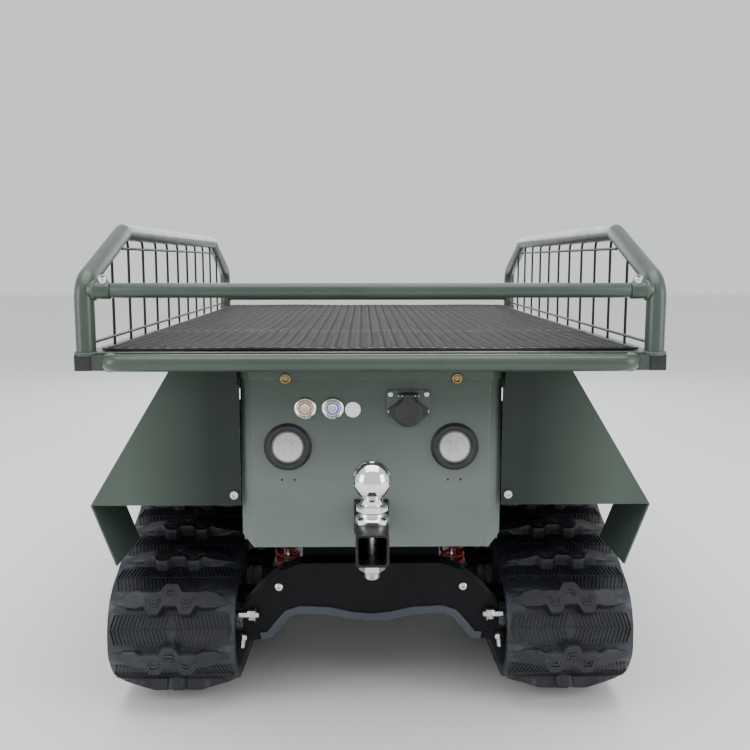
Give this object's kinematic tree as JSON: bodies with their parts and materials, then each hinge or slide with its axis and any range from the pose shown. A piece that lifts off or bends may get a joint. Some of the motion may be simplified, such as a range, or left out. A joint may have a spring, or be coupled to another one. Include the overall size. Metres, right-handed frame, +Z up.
{
  "type": "tracked carrier chassis",
  "caption": "Electric tracked carrier: steel hull on two rubber tracks with sprung road wheels, track covers, a railed cargo deck, rear lamps and buttons, and a tow ball.",
  "frame": {"origin": "on the ground, at the middle of the part's length and width", "axes": "+X right, +Y forward (away from the tow ball), +Z up"},
  "size_m": [0.757, 1.29, 0.6985],
  "materials": {
    "green_paint": "army green powder coat, satin, lightly worn",
    "black_paint": "black paint, satin",
    "mat_rubber": "moulded black rubber matting",
    "black_plastic": "moulded black plastic",
    "chrome": "bright plated steel",
    "ring_rubber": "soft black rubber grommet",
    "lamp_glass": "ribbed clear lens over a bright reflector",
    "button_metal": "turned stainless steel",
    "white_label": "white vinyl",
    "zinc_steel": "zinc plated steel",
    "cast_housing": "cast gearbox and motor case",
    "pack_case": "moulded battery case",
    "track_rubber": "blue-black moulded track rubber",
    "black_iron": "black painted casting",
    "rod_chrome": "plated damper rod",
    "spring_red": "red painted spring wire",
    "wheel_rubber": "rubber-tyred wheel"
  },
  "bodies": {
    "root": {"upper_hull": "green_paint", "lower_hull": "black_paint", "hull_lid": "green_paint", "rear_panel": "green_paint", "rear_beam": "black_paint", "cover_left": "green_paint", "cover_right": "green_paint", "rack_frame": "green_paint", "deck_plate": "green_paint", "deck_mats": "mat_rubber", "rack_rails": "green_paint", "rack_guards": "black_paint", "bumper_bar": "green_paint", "gate_bar": "green_paint", "tube_plugs": "black_plastic", "hitch_receiver": "black_paint", "ball_mount": "black_paint", "tow_ball": "chrome", "lamp_rings": "ring_rubber", "lamp_lenses": "lamp_glass", "button_bezels": "button_metal", "charge_socket": "black_plastic", "marker_disc": "white_label", "fasteners": "zinc_steel", "axle_stubs": "zinc_steel", "drive_motors": "cast_housing", "battery_pack": "pack_case", "belt_left": "track_rubber", "shock_body_left": "black_paint", "shock_spring_left": "spring_red", "belt_right": "track_rubber", "shock_body_right": "black_paint", "shock_spring_right": "spring_red"},
    "power_button": {"power_button": "button_metal"},
    "drive_button": {"drive_button": "button_metal"},
    "socket_lid": {"socket_lid": "black_plastic"},
    "sprocket_left": {"sprocket_left": "black_iron"},
    "idler_left": {"idler_left": "black_iron"},
    "return_roller_left": {"return_roller_left": "black_iron"},
    "arm_left_1": {"arm_left_1": "black_paint"},
    "road_wheel_left_1": {"road_wheel_left_1": "wheel_rubber"},
    "arm_left_2": {"arm_left_2": "black_paint"},
    "road_wheel_left_2": {"road_wheel_left_2": "wheel_rubber"},
    "arm_left_3": {"arm_left_3": "black_paint"},
    "road_wheel_left_3": {"road_wheel_left_3": "wheel_rubber"},
    "arm_left_4": {"arm_left_4": "black_paint"},
    "road_wheel_left_4": {"road_wheel_left_4": "wheel_rubber"},
    "shock_rod_left": {"shock_rod_left": "rod_chrome"},
    "sprocket_right": {"sprocket_right": "black_iron"},
    "idler_right": {"idler_right": "black_iron"},
    "return_roller_right": {"return_roller_right": "black_iron"},
    "arm_right_1": {"arm_right_1": "black_paint"},
    "road_wheel_right_1": {"road_wheel_right_1": "wheel_rubber"},
    "arm_right_2": {"arm_right_2": "black_paint"},
    "road_wheel_right_2": {"road_wheel_right_2": "wheel_rubber"},
    "arm_right_3": {"arm_right_3": "black_paint"},
    "road_wheel_right_3": {"road_wheel_right_3": "wheel_rubber"},
    "arm_right_4": {"arm_right_4": "black_paint"},
    "road_wheel_right_4": {"road_wheel_right_4": "wheel_rubber"},
    "shock_rod_right": {"shock_rod_right": "rod_chrome"}
  },
  "joints": [
    {"name": "sprocket_spin_left", "type": "hinge", "parent": "root", "child": "sprocket_left", "pos_m": [-0.282, 0.5, 0.18], "axis": [-1, 0, 0], "continuous": true},
    {"name": "idler_spin_left", "type": "hinge", "parent": "root", "child": "idler_left", "pos_m": [-0.282, -0.385, 0.112], "axis": [-1, 0, 0], "continuous": true},
    {"name": "return_roller_spin_left", "type": "hinge", "parent": "root", "child": "return_roller_left", "pos_m": [-0.282, -0.165, 0.225], "axis": [-1, 0, 0], "continuous": true},
    {"name": "arm_hinge_left_1", "type": "hinge", "parent": "root", "child": "arm_left_1", "pos_m": [-0.172, -0.125, 0.15], "axis": [-1, 0, 0], "range_deg": [0, 12], "stiffness_Nm_per_rad": 40, "springref_deg": -11.46},
    {"name": "wheel_spin_left_1", "type": "hinge", "parent": "arm_left_1", "child": "road_wheel_left_1", "pos_m": [-0.282, -0.225, 0.09], "axis": [-1, 0, 0], "continuous": true},
    {"name": "arm_hinge_left_2", "type": "hinge", "parent": "root", "child": "arm_left_2", "pos_m": [-0.172, 0.055, 0.15], "axis": [-1, 0, 0], "range_deg": [0, 12], "stiffness_Nm_per_rad": 40, "springref_deg": -11.46},
    {"name": "wheel_spin_left_2", "type": "hinge", "parent": "arm_left_2", "child": "road_wheel_left_2", "pos_m": [-0.282, -0.045, 0.09], "axis": [-1, 0, 0], "continuous": true},
    {"name": "arm_hinge_left_3", "type": "hinge", "parent": "root", "child": "arm_left_3", "pos_m": [-0.172, 0.235, 0.15], "axis": [-1, 0, 0], "range_deg": [0, 12], "stiffness_Nm_per_rad": 40, "springref_deg": -11.46},
    {"name": "wheel_spin_left_3", "type": "hinge", "parent": "arm_left_3", "child": "road_wheel_left_3", "pos_m": [-0.282, 0.135, 0.09], "axis": [-1, 0, 0], "continuous": true},
    {"name": "arm_hinge_left_4", "type": "hinge", "parent": "root", "child": "arm_left_4", "pos_m": [-0.172, 0.415, 0.15], "axis": [-1, 0, 0], "range_deg": [0, 12], "stiffness_Nm_per_rad": 40, "springref_deg": -11.46},
    {"name": "wheel_spin_left_4", "type": "hinge", "parent": "arm_left_4", "child": "road_wheel_left_4", "pos_m": [-0.282, 0.315, 0.09], "axis": [-1, 0, 0], "continuous": true},
    {"name": "shock_slide_left", "type": "slide", "parent": "root", "child": "shock_rod_left", "axis": [0, -0.1618, 0.9868], "range_m": [0, 0.0196], "deforming": ["shock_spring_left"]},
    {"name": "sprocket_spin_right", "type": "hinge", "parent": "root", "child": "sprocket_right", "pos_m": [0.282, 0.5, 0.18], "axis": [-1, 0, 0], "continuous": true},
    {"name": "idler_spin_right", "type": "hinge", "parent": "root", "child": "idler_right", "pos_m": [0.282, -0.385, 0.112], "axis": [-1, 0, 0], "continuous": true},
    {"name": "return_roller_spin_right", "type": "hinge", "parent": "root", "child": "return_roller_right", "pos_m": [0.282, -0.165, 0.225], "axis": [-1, 0, 0], "continuous": true},
    {"name": "arm_hinge_right_1", "type": "hinge", "parent": "root", "child": "arm_right_1", "pos_m": [0.172, -0.125, 0.15], "axis": [-1, 0, 0], "range_deg": [0, 12], "stiffness_Nm_per_rad": 40, "springref_deg": -11.46},
    {"name": "wheel_spin_right_1", "type": "hinge", "parent": "arm_right_1", "child": "road_wheel_right_1", "pos_m": [0.282, -0.225, 0.09], "axis": [-1, 0, 0], "continuous": true},
    {"name": "arm_hinge_right_2", "type": "hinge", "parent": "root", "child": "arm_right_2", "pos_m": [0.172, 0.055, 0.15], "axis": [-1, 0, 0], "range_deg": [0, 12], "stiffness_Nm_per_rad": 40, "springref_deg": -11.46},
    {"name": "wheel_spin_right_2", "type": "hinge", "parent": "arm_right_2", "child": "road_wheel_right_2", "pos_m": [0.282, -0.045, 0.09], "axis": [-1, 0, 0], "continuous": true},
    {"name": "arm_hinge_right_3", "type": "hinge", "parent": "root", "child": "arm_right_3", "pos_m": [0.172, 0.235, 0.15], "axis": [-1, 0, 0], "range_deg": [0, 12], "stiffness_Nm_per_rad": 40, "springref_deg": -11.46},
    {"name": "wheel_spin_right_3", "type": "hinge", "parent": "arm_right_3", "child": "road_wheel_right_3", "pos_m": [0.282, 0.135, 0.09], "axis": [-1, 0, 0], "continuous": true},
    {"name": "arm_hinge_right_4", "type": "hinge", "parent": "root", "child": "arm_right_4", "pos_m": [0.172, 0.415, 0.15], "axis": [-1, 0, 0], "range_deg": [0, 12], "stiffness_Nm_per_rad": 40, "springref_deg": -11.46},
    {"name": "wheel_spin_right_4", "type": "hinge", "parent": "arm_right_4", "child": "road_wheel_right_4", "pos_m": [0.282, 0.315, 0.09], "axis": [-1, 0, 0], "continuous": true},
    {"name": "shock_slide_right", "type": "slide", "parent": "root", "child": "shock_rod_right", "axis": [0, -0.1618, 0.9868], "range_m": [0, 0.0196], "deforming": ["shock_spring_right"]},
    {"name": "power_button_press", "type": "slide", "parent": "root", "child": "power_button", "axis": [0, 1, 0], "range_m": [0, 0.0025], "stiffness_N_per_m": 400, "springref_m": -0.002},
    {"name": "drive_button_press", "type": "slide", "parent": "root", "child": "drive_button", "axis": [0, 1, 0], "range_m": [0, 0.0025], "stiffness_N_per_m": 400, "springref_m": -0.002},
    {"name": "socket_lid_hinge", "type": "hinge", "parent": "root", "child": "socket_lid", "pos_m": [0.049, -0.509, 0.469], "axis": [-1, 0, 0], "range_deg": [0, 110], "stiffness_Nm_per_rad": 0.02, "springref_deg": -17.19}
  ],
  "couplings": [
    {"joint": "idler_spin_left", "follows": "sprocket_spin_left", "ratio": 1.3394},
    {"joint": "return_roller_spin_left", "follows": "sprocket_spin_left", "ratio": 1.9833},
    {"joint": "wheel_spin_left_1", "follows": "sprocket_spin_left", "ratio": 1.7189},
    {"joint": "wheel_spin_left_2", "follows": "sprocket_spin_left", "ratio": 1.7189},
    {"joint": "wheel_spin_left_3", "follows": "sprocket_spin_left", "ratio": 1.7189},
    {"joint": "wheel_spin_left_4", "follows": "sprocket_spin_left", "ratio": 1.7189},
    {"joint": "shock_slide_left", "follows": "arm_hinge_left_1", "m_per_rad": 0.092446},
    {"joint": "idler_spin_right", "follows": "sprocket_spin_right", "ratio": 1.3394},
    {"joint": "return_roller_spin_right", "follows": "sprocket_spin_right", "ratio": 1.9833},
    {"joint": "wheel_spin_right_1", "follows": "sprocket_spin_right", "ratio": 1.7189},
    {"joint": "wheel_spin_right_2", "follows": "sprocket_spin_right", "ratio": 1.7189},
    {"joint": "wheel_spin_right_3", "follows": "sprocket_spin_right", "ratio": 1.7189},
    {"joint": "wheel_spin_right_4", "follows": "sprocket_spin_right", "ratio": 1.7189},
    {"joint": "shock_slide_right", "follows": "arm_hinge_right_1", "m_per_rad": 0.092446}
  ]
}
